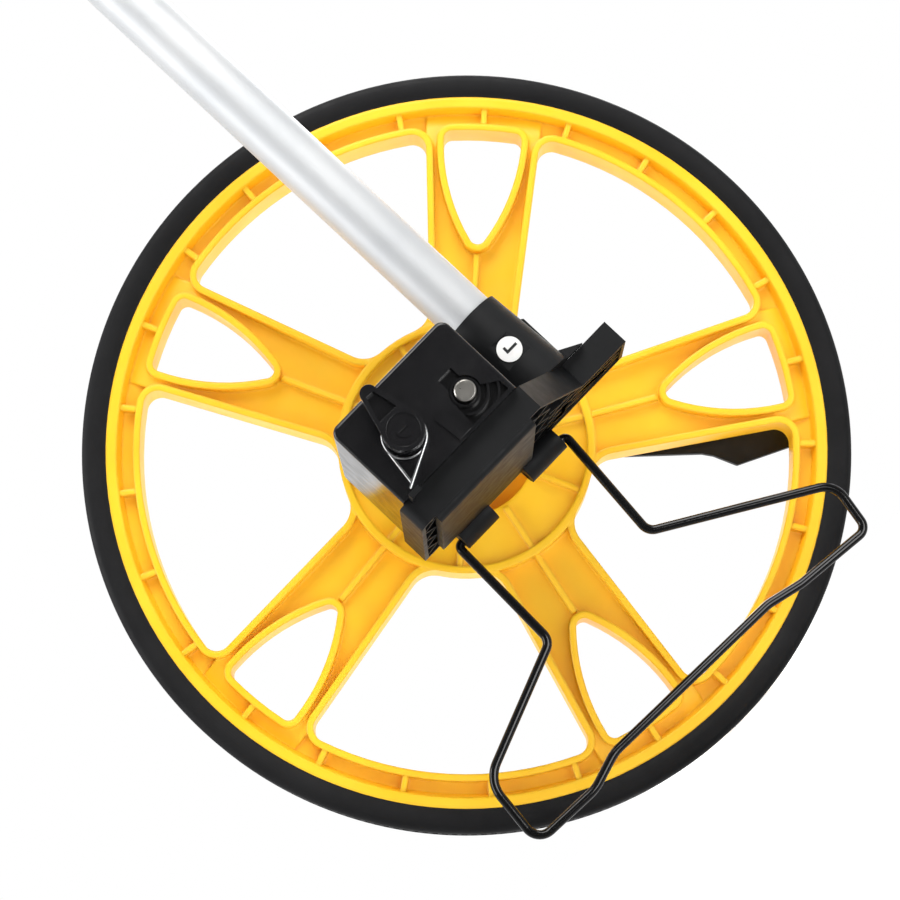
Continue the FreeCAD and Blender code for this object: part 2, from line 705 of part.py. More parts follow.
def boss_spans():
    """Where the two bosses start and end along X: their outer ends stop short of the legs' bends."""
    reach = pin_reach - bend_radius - 0.3
    return ((stand_x - reach, -15.5), (4.5, stand_x + reach - 0.8))


def handle_socket():
    """Tapered cup on the beam that clamps the tube, with a back flange, a gusset and a flat for the label."""
    flange_front = beam_back - flange_depth
    cup = Part.makeCone(socket_foot_radius, socket_top_radius, socket_top - beam_top,
                        V(tube_x, tube_y, axle_z + beam_top), Z_AXIS)
    flange = box(box_right + 0.4, 49.5, flange_front, beam_back, beam_top, 15.0)
    shoulder = prism_y([(box_right + 0.4, 15.0), (box_right + 0.4, 24.0), (38, 24.0), (49.5, 15.0)],
                       flange_front, beam_back)
    bridge = box(tube_x - 9, tube_x + 9, tube_y, beam_back - 3, beam_top, 22.0)
    gusset = prism_y([(tube_x + 8, beam_top), (53.5, beam_top), (tube_x + 8, -4.0)], tube_y - 2, tube_y + 2)
    socket = fuse_all([cup, flange, shoulder, bridge, gusset])
    flat = box(tube_x - 12, tube_x + 12, tube_y - 20, tube_y - 13.0, -0.6, 10.6)
    socket = socket.cut(flat).cut(rod_z(tube_radius, tube_x, tube_y, tube_foot, socket_top + 1))
    return drill_screws(socket, [socket_screw_place], flange_front - 1, beam_back + 1)


def socket_parts():
    label = rod_y(5.1, tube_x, 5.0, tube_y - 13.5, tube_y - 13.0)
    tube = rod_z(tube_radius, tube_x, tube_y, tube_foot, fold_rise - 2)
    tube = tube.cut(rod_z(tube_radius - tube_wall, tube_x, tube_y, tube_foot - 1, fold_rise))
    return {"handle_socket": handle_socket(), "socket_label": label,
            "socket_screw": screw_y(*socket_screw_place, beam_back - flange_depth, 1, 6.0),
            "lower_tube": tube}


# ---------------------------------------------------------------- axle

def axle_parts():
    pin = rod_y(axle_radius, 0, 0, cover_front - 2.6, 26.0)
    tip_edges = [edge for edge in pin.Edges if edge.BoundBox.YMax < cover_front - 2]
    pin = pin.makeChamfer(0.5, tip_edges)
    spacer = tube_y_axis(6.2, axle_radius, 0, 0, cheek_front_y + cheek_thickness, gear_y[0] - 0.3)
    washer = tube_y_axis(9.0, axle_radius, 0, 0, 18.5, 20.0)
    hexagon = [polar(7.0, 60 * k) for k in range(6)]
    nut = prism_y(hexagon, 20.0, 25.0).cut(rod_y(axle_radius, 0, 0, 19, 27))
    return {"axle": pin, "axle_spacer": spacer, "axle_washer": washer, "axle_nut": nut}


def pointer_arm():
    """Flat blade on the far side that shows the point of measurement at the tyre's edge."""
    under = [(56, -47), (99, -45.9), (104, -46.4), (114, -48.4), (137, -44.7), (149, -43.4), (154, -42.4)]
    over = [(153, -41.6), (120, -41.4), (100, -39.4), (84, -35.5), (60, -30.0)]
    outline = [polar(r, a) for r, a in under + over + [(9, 20), (9, -110)]]
    blade = prism_y(outline, 14.6, 18.5)
    boss = rod_y(12.0, 0, 0, 14.6, 18.5)
    rib = prism_y([polar(10, -36), polar(140, -42.2), polar(140, -43.0), polar(10, -46)], 18.4, 21.0)
    arm = fuse_all([blade, boss, rib])
    return arm.cut(rod_y(axle_radius, 0, 0, 10, 26)).cut(rod_y(9.2, 0, 0, 18.5, 26))


# ---------------------------------------------------------------- stand

def wire_stand():
    """Bent wire: short pins turned into the bosses, two legs, and a foot with rounded ears.

    Each bend is its distance across from the middle, its drop below the pins and its radius.
    """
    pin_end = pin_reach - 7.3
    bends = [(-pin_reach, 0.0, bend_radius), (-33.4, 52.6, 5.5), (-90.8, 73.4, 13.0), (-94.7, 104.1, 6.5),
             (-63.7, 106.1, 18.0), (-48.1, 101.7, 18.0), (37.3, 105.7, 18.0), (52.7, 109.7, 18.0),
             (87.1, 113.8, 4.5), (91.6, 91.9, 9.5), (25.8, 50.8, 5.5), (pin_reach, 0.0, bend_radius)]
    route = [(-pin_end, 0.0)] + [(x, drop) for x, drop, radius in bends] + [(pin_end, 0.0)]
    points = [V(stand_x + x, stand_y, axle_z + stand_rise - drop) for x, drop in route]
    path = rounded_path(points, [radius for x, drop, radius in bends])
    profile = Part.Wire(Part.makeCircle(wire_radius, points[0], X_AXIS))
    return path.makePipeShell([profile], True, False)


# ---------------------------------------------------------------- folding handle

def fold_parts():
    """The fold joint: two blocks that meet face to face, a pin beside the tube and a clamp knob."""
    hinge_x = tube_x + fold_offset
    knuckle = 7.0
    lug_front = tube_y - 12
    lug_back = tube_y + 12
    lower_sleeve = rod_z(14.0, tube_x, tube_y, fold_rise - 34, fold_rise - 0.15)
    lower_lug = box(tube_x, hinge_x - knuckle + 0.5, lug_front, lug_back, fold_rise - 20, fold_rise - 0.15)
    upper_sleeve = rod_z(14.0, tube_x, tube_y, fold_rise + 0.15, fold_rise + 34)
    upper_lug = box(tube_x, hinge_x - knuckle - 0.4, lug_front, lug_back, fold_rise + 0.15, fold_rise + 20)
    lower = [lower_sleeve, lower_lug]
    clear = rod_y(knuckle + 0.3, hinge_x, fold_rise, tube_y - 5.8, tube_y + 5.8)
    outer_spans = ((lug_front, tube_y - 5.8), (tube_y + 5.8, lug_back))
    for y0, y1 in outer_spans:
        lower.append(rod_y(knuckle, hinge_x, fold_rise, y0, y1))
        lower.append(box(hinge_x - knuckle, hinge_x, y0, y1, fold_rise - 16, fold_rise - 0.15))
    lower_block = fuse_all(lower).cut(clear)
    lower_block = lower_block.cut(rod_y(3.0, hinge_x, fold_rise, tube_y - 13, tube_y + 13))
    lower_block = lower_block.cut(rod_z(tube_radius, tube_x, tube_y, fold_rise - 40, fold_rise - 2))
    middle = rod_y(knuckle, hinge_x, fold_rise, tube_y - 5.5, tube_y + 5.5)
    link = box(hinge_x - knuckle - 1, hinge_x, tube_y - 5.5, tube_y + 5.5, fold_rise + 0.15, fold_rise + 16)
    upper_block = fuse_all([upper_sleeve, upper_lug])
    for y0, y1 in outer_spans:
        upper_block = upper_block.cut(rod_y(knuckle + 0.4, hinge_x, fold_rise, y0 - 1, y1 + 1))
    upper_block = fuse_all([upper_block, middle, link])
    upper_block = upper_block.cut(rod_y(3.0 + running_gap, hinge_x, fold_rise, tube_y - 13, tube_y + 13))
    upper_block = upper_block.cut(rod_z(tube_radius, tube_x, tube_y, fold_rise + 2, fold_rise + 40))
    pin = rod_y(3.0, hinge_x, fold_rise, tube_y - 21, tube_y + 12)
    pin = pin.fuse(rod_y(5.0, hinge_x, fold_rise, tube_y + 12, tube_y + 14.5)).removeSplitter()
    return {"fold_block_lower": lower_block, "fold_block_upper": upper_block, "fold_pin": pin,
            "fold_knob": fold_knob(hinge_x)}


def fold_knob(hinge_x):
    """Lobed clamp knob on the pin's front end."""
    y0 = tube_y - 22
    y1 = tube_y - 12.3
    knob = rod_y(9.0, hinge_x, fold_rise, y0, y1)
    for k in range(6):
        x, rise = polar(9.2, 60 * k)
        knob = knob.fuse(rod_y(2.6, hinge_x + x, fold_rise + rise, y0, y1 - 1.5))
    knob = knob.removeSplitter()
    return knob.cut(rod_y(3.0 + running_gap, hinge_x, fold_rise, y0 + 0.9, y1 + 1))


def upper_handle_parts():
    tube = rod_z(tube_radius, tube_x, tube_y, fold_rise + 2, handle_top - 8)
    tube = tube.cut(rod_z(tube_radius - tube_wall, tube_x, tube_y, fold_rise + 1, handle_top))
    grip_foot = handle_top - 10 - grip_length
    grip = rod_z(grip_radius, tube_x, tube_y, grip_foot, handle_top - 10)
    flange = rod_z(grip_radius + 2.5, tube_x, tube_y, grip_foot, grip_foot + 5)
    grip = grip.fuse(flange).removeSplitter()
    ring_edges = [edge for edge in grip.Edges if edge.BoundBox.ZMax < axle_z + grip_foot + 5.1
                  and edge.BoundBox.XLength > 2 * grip_radius + 3]
    grip = grip.makeFillet(1.8, ring_edges)
    for k in range(4):
        groove = Part.makeTorus(grip_radius + 0.6, 1.6, V(tube_x, tube_y, axle_z + grip_foot + 22 + k * 27),
                                Z_AXIS)
        grip = grip.cut(groove)
    grip = grip.cut(rod_z(tube_radius, tube_x, tube_y, grip_foot - 1, handle_top))
    cap = rod_z(grip_radius, tube_x, tube_y, handle_top - 10, handle_top)
    top_edge = [edge for edge in cap.Edges if edge.BoundBox.ZMin > axle_z + handle_top - 0.1]
    cap = cap.makeFillet(5.0, top_edge)
    cap = cap.cut(rod_z(tube_radius, tube_x, tube_y, handle_top - 11, handle_top - 8))
    eye = box(tube_x - 3, tube_x + 3, tube_y - 7, tube_y + 7, handle_top - 2, handle_top + 9)
    eye = eye.makeFillet(2.5, edges_along(eye, X_AXIS))
    cap = fuse_all([cap, eye])
    cap = cap.cut(rod_x(3.0, tube_y, handle_top + 3.6, tube_x - 5, tube_x + 5))
    return {"upper_tube": tube, "grip": grip, "grip_cap": cap}


def export(parts):
    os.makedirs("parts", exist_ok=True)
    for name, shape in parts.items():
        if not shape.isValid():
            print("not valid:", name)
        shape.exportStep("parts/%s.step" % name)
        size = shape.BoundBox
        print("%-20s solids %d volume %.0f x %.1f..%.1f y %.1f..%.1f z %.1f..%.1f" % (
            name, len(shape.Solids), shape.Volume, size.XMin, size.XMax, size.YMin, size.YMax,
            size.ZMin, size.ZMax))


def main():
    parts = {}
    for group in (wheel_parts(), axle_parts(), counter_parts(), lever_parts(), spring_parts(),
                  socket_parts(), fold_parts(), upper_handle_parts()):
        parts.update(group)
    parts["pointer_arm"] = pointer_arm()
    parts["bracket_beam"] = bracket_beam()
    parts["stand_panel"] = stand_panel()
    parts["wire_stand"] = wire_stand()
    export(parts)


main()
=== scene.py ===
import json
import math

import bmesh
import bpy
from mathutils import Matrix, Vector


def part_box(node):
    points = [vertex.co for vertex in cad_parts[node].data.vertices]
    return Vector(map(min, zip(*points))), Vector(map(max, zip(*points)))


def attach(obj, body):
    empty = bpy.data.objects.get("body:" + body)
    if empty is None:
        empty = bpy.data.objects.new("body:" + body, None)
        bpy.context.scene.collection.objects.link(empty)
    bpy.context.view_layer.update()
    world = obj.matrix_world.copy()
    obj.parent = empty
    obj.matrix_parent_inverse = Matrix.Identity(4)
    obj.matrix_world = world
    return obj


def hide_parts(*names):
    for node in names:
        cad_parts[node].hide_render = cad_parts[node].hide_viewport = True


# A measuring wheel standing on its tyre: spoked plastic wheel, side counter, wire stand, folding handle.
# Metres, Z up along the handle, Y along the axle with the counter at -Y, X to the right as seen
# from the counter.

MM = 0.001
digits_per_turn = 10
digit_angle = 360 / digits_per_turn

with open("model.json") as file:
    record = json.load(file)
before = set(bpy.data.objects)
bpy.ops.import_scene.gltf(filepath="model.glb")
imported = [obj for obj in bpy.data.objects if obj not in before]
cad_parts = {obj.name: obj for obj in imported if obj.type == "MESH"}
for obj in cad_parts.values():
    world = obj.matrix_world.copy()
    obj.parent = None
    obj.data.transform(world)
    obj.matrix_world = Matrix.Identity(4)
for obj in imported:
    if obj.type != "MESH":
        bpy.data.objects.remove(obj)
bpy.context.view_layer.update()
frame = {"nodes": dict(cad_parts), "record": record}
nodes = frame["nodes"]
record = frame["record"]
body_of = {node: body for body, members in record["behaviour"]["bodies"].items() for node in members}
pivot_of = {joint["name"]: Vector(joint["pos_m"]) for joint in record["behaviour"]["joints"]}
axle = pivot_of["wheel_spin"]
lever_axis = pivot_of["reset_turn"]
drum_names = sorted(node for node in nodes if node.startswith("number_drum_"))


# ------------------------------------------------------------------ camera, light and floor

def camera_turn(azimuth, elevation, roll):
    """The camera's right, up and back directions as a turn; azimuth 0 looks along +Y."""
    a, e, r = (math.radians(angle) for angle in (azimuth, elevation, roll))
    back = Vector((math.sin(a) * math.cos(e), -math.cos(a) * math.cos(e), math.sin(e)))
    level = Vector((math.cos(a), math.sin(a), 0))
    upright = back.cross(level)
    right = level * math.cos(r) - upright * math.sin(r)
    up = level * math.sin(r) + upright * math.cos(r)
    return Matrix((right, up, back)).transposed(), right, up, back


def make_camera():
    """Long lens just above the ground, rolled so that the handle leans to the upper left as in use."""
    turn, right, up, back = camera_turn(azimuth=-6.64, elevation=-6.97, roll=46.75)
    data = bpy.data.cameras.new("camera")
    data.sensor_width = 36
    data.lens = 120
    data.clip_start = 0.05
    data.clip_end = 60
    camera = bpy.data.objects.new("camera", data)
    camera.matrix_world = Matrix.Translation((-0.1480, -1.2302, 0.0125)) @ turn.to_4x4()
    bpy.context.scene.collection.objects.link(camera)
    bpy.context.scene.camera = camera
    return right, up, back


def soft_light(name, place, size, power, colour=(1, 1, 1)):
    """A rectangular softbox that faces the axle."""
    data = bpy.data.lights.new(name, "AREA")
    data.shape = "RECTANGLE"
    data.size, data.size_y = size
    data.energy = power
    data.color = colour
    light = bpy.data.objects.new(name, data)
    light.location = place
    light.rotation_euler = (place - axle).to_track_quat("Z", "Y").to_euler()
    bpy.context.scene.collection.objects.link(light)


def light_studio(right, up, back):
    """A large softbox over the view's top, others in front and to the left, and one behind the wheel."""
    key_place = axle + up * 1.3 + back * 0.7 - right * 0.35
    front_place = axle + back * 1.9 + right * 1.0 + up * 0.3
    left_place = axle - right * 1.5 + back * 0.5 - up * 0.2
    back_place = axle - back * 1.5 + up * 0.9
    soft_light("key softbox", key_place, (1.3, 0.9), power=22, colour=(1, 0.99, 0.97))
    soft_light("front softbox", front_place, (1.2, 1.2), power=27)
    soft_light("left softbox", left_place, (0.5, 1.3), power=12)
    soft_light("back softbox", back_place, (1.4, 1.0), power=17)


def make_world():
    """A room that is darker on the counter side, so that black parts stay black; to the camera it's white."""
    world = bpy.data.worlds.new("studio")
    world.use_nodes = True
    tree = world.node_tree
    tree.nodes.clear()
    place = add(tree, "ShaderNodeTexCoord").outputs["Generated"]
    depth = add(tree, "ShaderNodeSeparateXYZ", {}, {0: place}).outputs["Y"]
    span = {"From Min": -0.7, "From Max": 0.7, "To Min": 0.12, "To Max": 1.0}
    fade = add(tree, "ShaderNodeMapRange", span, {"Value": depth}).outputs[0]
    room = add(tree, "ShaderNodeBackground", {"Color": linear("#FFFFFF")}, {"Strength": fade})
    seen = add(tree, "ShaderNodeBackground", {"Color": linear("#FFFFFF"), "Strength": 1.0})
    direct = add(tree, "ShaderNodeLightPath").outputs["Is Camera Ray"]
    either = add(tree, "ShaderNodeMixShader", {}, {0: direct, 1: room.outputs[0], 2: seen.outputs[0]})
    add(tree, "ShaderNodeOutputWorld", {}, {0: either.outputs[0]})
    bpy.context.scene.world = world
    bpy.context.scene.view_settings.view_transform = "Standard"


def make_floor():
    """A plain pale floor under the tyre, lit a little from within so that it runs into the white room."""
    size = 12.0
    mesh = bpy.data.meshes.new("floor")
    corners = [(-size, -size, 0), (size, -size, 0), (size, size, 0), (-size, size, 0)]
    mesh.from_pydata(corners, [], [(0, 1, 2, 3)])
    floor = bpy.data.objects.new("floor", mesh)
    bpy.context.scene.collection.objects.link(floor)
    tree, shader, place = new_material("pale studio floor", floor)
    cloud = grain(tree, place, 400, 0, 1)
    feed(tree, shader, "Base Color", shades(tree, cloud, "#F2F2F1", "#F7F7F6"))
    shader.inputs["Roughness"].default_value = 0.9
    shader.inputs["Emission Color"].default_value = linear("#FFFFFF")
    shader.inputs["Emission Strength"].default_value = 0.5
    floor.visible_glossy = False


# ------------------------------------------------------------------ materials: tools

def linear(colour):
    """An sRGB hex colour as linear red, green, blue and alpha."""
    channels = [int(colour[k:k + 2], 16) / 255 for k in (1, 3, 5)]
    return [c / 12.92 if c <= 0.04045 else ((c + 0.055) / 1.055) ** 2.4 for c in channels] + [1.0]


def add(tree, kind, values=(), links=(), **settings):
    """Adds a node, with its properties as settings, its inputs' numbers as values and its links."""
    node = tree.nodes.new(kind)
    for name, value in settings.items():
        setattr(node, name, value)
    for name, value in dict(values).items():
        node.inputs[name].default_value = value
    for name, socket in dict(links).items():
        tree.links.new(socket, node.inputs[name])
    return node


def feed(tree, shader, name, socket):
    """Links a socket to the shader's named input."""
    tree.links.new(socket, shader.inputs[name])


def new_material(name, *objects):
    """A material with its output, its shader and object coordinates, given to some objects."""
    material = bpy.data.materials.new(name)
    material.use_nodes = True
    tree = material.node_tree
    tree.nodes.clear()
    shader = add(tree, "ShaderNodeBsdfPrincipled")
    add(tree, "ShaderNodeOutputMaterial", {}, {0: shader.outputs[0]})
    place = add(tree, "ShaderNodeTexCoord").outputs["Object"]
    for piece in objects:
        piece.data.materials.clear()
        piece.data.materials.append(material)
    return tree, shader, place


def grain(tree, place, size_mm, low, high, stretch=(1, 1, 1)):
    """An uneven pattern with features about size_mm across, spread between two values."""
    scaled = add(tree, "ShaderNodeMapping", {"Scale": stretch}, {"Vector": place}).outputs[0]
    settings = {"Scale": 1 / (size_mm * MM), "Detail": 3.0}
    noise = add(tree, "ShaderNodeTexNoise", settings, {"Vector": scaled}).outputs[0]
    span = {"From Min": 0.3, "From Max": 0.7, "To Min": low, "To Max": high}
    return add(tree, "ShaderNodeMapRange", span, {"Value": noise}).outputs[0]


def rings(tree, place, centre, pitch_mm, low, high):
    """Concentric rings about a line along Y, as a lathe or a mould's turned face leaves them."""
    per_metre = 2 * math.pi / (pitch_mm * MM)
    offset = add(tree, "ShaderNodeVectorMath", {1: centre}, {0: place}, operation="SUBTRACT").outputs[0]
    flat = add(tree, "ShaderNodeVectorMath", {1: (1, 0, 1)}, {0: offset}, operation="MULTIPLY").outputs[0]
    radius = add(tree, "ShaderNodeVectorMath", {}, {0: flat}, operation="LENGTH").outputs["Value"]
    phase = add(tree, "ShaderNodeMath", {1: per_metre}, {0: radius}, operation="MULTIPLY").outputs[0]
    wave = add(tree, "ShaderNodeMath", {}, {0: phase}, operation="SINE").outputs[0]
    span = {"From Min": -1, "From Max": 1, "To Min": low, "To Max": high}
    return add(tree, "ShaderNodeMapRange", span, {"Value": wave}).outputs[0]


def shades(tree, factor, first, second):
    """Two shades mixed by a pattern."""
    blend = add(tree, "ShaderNodeMix", {6: linear(first), 7: linear(second)}, {0: factor}, data_type="RGBA")
    return blend.outputs[2]


def relief(tree, height, depth_mm, edge_mm=0.0):
    """A shallow relief of a stated depth, from a height between 0 and 1, over softly rounded edges."""
    links = {"Height": height}
    if edge_mm:
        links["Normal"] = add(tree, "ShaderNodeBevel", {"Radius": edge_mm * MM}, samples=6).outputs[0]
    return add(tree, "ShaderNodeBump", {"Strength": 1.0, "Distance": depth_mm * MM}, links).outputs[0]


def surface(name, colours, roughness, fixed, cloud_mm, grain_mm, depth_mm, stretch=(1, 1, 1), edge_mm=0.0):
    """A material with cloudy colour, uneven gloss and a fine relief."""
    tree, shader, place = new_material(name)
    feed(tree, shader, "Base Color", shades(tree, grain(tree, place, cloud_mm, 0, 1), *colours))
    feed(tree, shader, "Roughness", grain(tree, place, cloud_mm / 3, *roughness, stretch=stretch))
    fine = grain(tree, place, grain_mm, 0, 1, stretch=stretch)
    feed(tree, shader, "Normal", relief(tree, fine, depth_mm, edge_mm))
    for socket, value in fixed.items():
        shader.inputs[socket].default_value = value
    return bpy.data.materials[name]


# ------------------------------------------------------------------ materials: finishes

def moulded_polypropylene():
    """Yellow polypropylene, injection moulded: waxy satin gloss, faint flow clouds, wide soft fillets."""
    return surface("yellow moulded polypropylene", ("#FBC01A", "#FECA25"), (0.32, 0.44), {"IOR": 1.49},
                   cloud_mm=28, grain_mm=0.7, depth_mm=0.006, edge_mm=1.7)


def vulcanised_rubber():
    """Black tyre rubber from a turned mould: dull sheen, fine rings left by the mould, slight bloom."""
    tree, shader, place = new_material("vulcanised tyre rubber")
    feed(tree, shader, "Base Color", shades(tree, grain(tree, place, 22, 0, 1), "#131315", "#18181A"))
    feed(tree, shader, "Roughness", grain(tree, place, 6, 0.54, 0.66))
    turned = rings(tree, place, axle, 0.9, 0, 0.5)
    pores = grain(tree, place, 0.5, 0, 0.5)
    both = add(tree, "ShaderNodeMath", {}, {0: turned, 1: pores}, operation="ADD").outputs[0]
    feed(tree, shader, "Normal", relief(tree, both, 0.02))
    shader.inputs["Specular IOR Level"].default_value = 0.24
    return bpy.data.materials["vulcanised tyre rubber"]


def polished_abs():
    """Black ABS from a polished mould: glossy at a flat angle, faint sink waves, a little haze."""
    return surface("polished black ABS", ("#101012", "#151517"), (0.16, 0.26), {"IOR": 1.54},
                   cloud_mm=24, grain_mm=20, depth_mm=0.008)


def grained_abs():
    """Black ABS from a spark-eroded mould: dull satin with a fine even grain."""
    return surface("grained black ABS", ("#121315", "#17181A"), (0.46, 0.58), {"Specular IOR Level": 0.28},
                   cloud_mm=18, grain_mm=0.45, depth_mm=0.012)


def anodised_aluminium():
    """Silver anodised aluminium tube: even and matt, with fine extrusion lines along its length."""
    return surface("matt anodised aluminium", ("#D0D3D6", "#DADCDE"), (0.50, 0.60), {"Metallic": 0.6},
                   cloud_mm=30, grain_mm=0.6, depth_mm=0.003, stretch=(1, 1, 0.012))


def turned_steel():
    """Bright turned steel: fine rings from the tool on the end face, soft streaks on the round."""
    tree, shader, place = new_material("bright turned steel")
    feed(tree, shader, "Base Color", shades(tree, grain(tree, place, 6, 0, 1), "#B4B1AA", "#C6C3BD"))
    feed(tree, shader, "Roughness", grain(tree, place, 4, 0.26, 0.34))
    feed(tree, shader, "Normal", relief(tree, rings(tree, place, axle, 0.45, 0, 1), 0.004, 0.3))
    shader.inputs["Metallic"].default_value = 1.0
    return bpy.data.materials["bright turned steel"]


def plated_steel():
    """Zinc-plated steel fasteners: slightly yellow-blue, small mottles."""
    return surface("zinc-plated steel", ("#B9BDC2", "#CBCABF"), (0.26, 0.40), {"Metallic": 1.0},
                   cloud_mm=2.5, grain_mm=0.5, depth_mm=0.006)


def spring_wire():
    """Bright drawn spring wire with faint draw marks."""
    return surface("bright spring wire", ("#BFC1C3", "#CDCECE"), (0.18, 0.28), {"Metallic": 1.0},
                   cloud_mm=4, grain_mm=0.4, depth_mm=0.004)


def dipped_lacquer():
    """Steel wire dipped in black lacquer: wet gloss with a gentle orange peel."""
    return surface("dipped black lacquer", ("#0A0A0B", "#0F0F10"), (0.10, 0.16), {"Specular IOR Level": 0.4},
                   cloud_mm=14, grain_mm=3.0, depth_mm=0.012)


def sintered_bronze():
    """Sintered bronze bush: brown, porous and slightly oily."""
    return surface("sintered bronze", ("#7E5A2C", "#99713C"), (0.40, 0.55), {"Metallic": 1.0},
                   cloud_mm=1.5, grain_mm=0.3, depth_mm=0.02)


def moulded_acetal():
    """Natural white acetal: waxy, milky white, with small flow marks."""
    return surface("natural moulded acetal", ("#E2DFD5", "#EBE9E1"), (0.28, 0.38), {"IOR": 1.48},
                   cloud_mm=6, grain_mm=0.6, depth_mm=0.006)


def drum_plastic():
    """Black moulded number drum: semi-matt with fine turning rings from its mould."""
    return surface("semi-matt drum plastic", ("#141416", "#1A1A1C"), (0.42, 0.52), {"IOR": 1.5},
                   cloud_mm=5, grain_mm=0.4, depth_mm=0.008)


def clear_acrylic():
    """Clear acrylic pane with hairline wear."""
    clear = {"IOR": 1.49, "Transmission Weight": 1.0}
    return surface("clear acrylic", ("#FAFCFC", "#FFFFFF"), (0.02, 0.06), clear,
                   cloud_mm=10, grain_mm=1.2, depth_mm=0.001, stretch=(1, 0.05, 1))


def label_vinyl():
    """White printed vinyl: smooth, a little uneven in gloss."""
    return surface("white label vinyl", ("#EDEDEC", "#F5F5F4"), (0.38, 0.50), {"IOR": 1.5},
                   cloud_mm=3, grain_mm=0.4, depth_mm=0.004)


def printing_ink(name, dark, light):
    """Pad-printed ink: flat and slightly uneven in cover."""
    return surface(name, (dark, light), (0.45, 0.58), {"IOR": 1.5},
                   cloud_mm=1.2, grain_mm=0.3, depth_mm=0.003)


def soft_grip_rubber():
    """Black thermoplastic rubber: dull, fine-pored, a little paler where hands polish it."""
    return surface("soft grip rubber", ("#1B1C1E", "#252628"), (0.52, 0.68), {"IOR": 1.5},
                   cloud_mm=16, grain_mm=0.6, depth_mm=0.03)


# ------------------------------------------------------------------ pieces: tools

def settle(piece, body, material=None, replaced=()):
    """Puts a finished piece on its body with its material, in place of the parts it replaces."""
    if material is not None:
        piece.data.materials.clear()
        piece.data.materials.append(material)
    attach(piece, body)
    if replaced:
        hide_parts(*replaced)


def mesh_piece(name, mesh):
    """A new object holding a bmesh, which is freed."""
    data = bpy.data.meshes.new(name)
    mesh.to_mesh(data)
    mesh.free()
    piece = bpy.data.objects.new(name, data)
    bpy.context.scene.collection.objects.link(piece)
    return piece


def made_plain(piece, name):
    """The evaluated object as a plain mesh object, in place of the one with modifiers."""
    graph = bpy.context.evaluated_depsgraph_get()
    data = bpy.data.meshes.new_from_object(piece.evaluated_get(graph))
    place = piece.matrix_world.copy()
    bpy.data.objects.remove(piece)
    plain = bpy.data.objects.new(name, data)
    data.transform(place)
    bpy.context.scene.collection.objects.link(plain)
    return plain


def softened(node, width_mm, segments, material):
    """A copy of a CAD node with its sharp edges rolled over, as a mould leaves them, in the node's place."""
    mesh = bmesh.new()
    mesh.from_mesh(nodes[node].data)
    bmesh.ops.remove_doubles(mesh, verts=mesh.verts, dist=0.002 * MM)
    bmesh.ops.dissolve_limit(mesh, angle_limit=math.radians(0.5), verts=mesh.verts, edges=mesh.edges)
    piece = mesh_piece(node + "_rounded", mesh)
    for polygon in piece.data.polygons:
        polygon.use_smooth = True
    rounding = piece.modifiers.new("rolled edges", "BEVEL")
    rounding.width = width_mm * MM
    rounding.segments = segments
    rounding.limit_method = "ANGLE"
    rounding.angle_limit = math.radians(32)
    rounding.miter_outer = "MITER_ARC"
    weighted = piece.modifiers.new("even shading", "WEIGHTED_NORMAL")
    weighted.keep_sharp = False
    weighted.weight = 90
    plain = made_plain(piece, node + "_rounded")
    settle(plain, body_of[node], material, (node,))


def revolved(name, outline, centre, axis, steps):
    """A closed ring from an outline of (radius, along) points, turned about an axis through a centre."""
    mesh = bmesh.new()
    across = Vector((0, 0, 1)) if axis.z == 0 else Vector((1, 0, 0))
    loops = []
    for step in range(steps):
        turn = Matrix.Rotation(2 * math.pi * step / steps, 3, axis)
        loops.append([mesh.verts.new(centre + turn @ (across * r) + axis * y) for r, y in outline])
    count = len(outline)
    for step in range(steps):
        here, there = loops[step], loops[(step + 1) % steps]
        for k in range(count):
            mesh.faces.new((here[k], here[(k + 1) % count], there[(k + 1) % count], there[k]))
    bmesh.ops.recalc_face_normals(mesh, faces=mesh.faces)
    piece = mesh_piece(name, mesh)
    piece.data.shade_smooth()
    piece.data.set_sharp_from_angle(angle=math.radians(40))
    return piece


def arc_points(centre, radius, start, end, steps):
    """Points on a quarter or other arc, with angles in degrees."""
    points = []
    for step in range(steps + 1):
        angle = math.radians(start + (end - start) * step / steps)
        points.append((centre[0] + radius * math.cos(angle), centre[1] + radius * math.sin(angle)))
    return points


# ------------------------------------------------------------------ repeated blocks

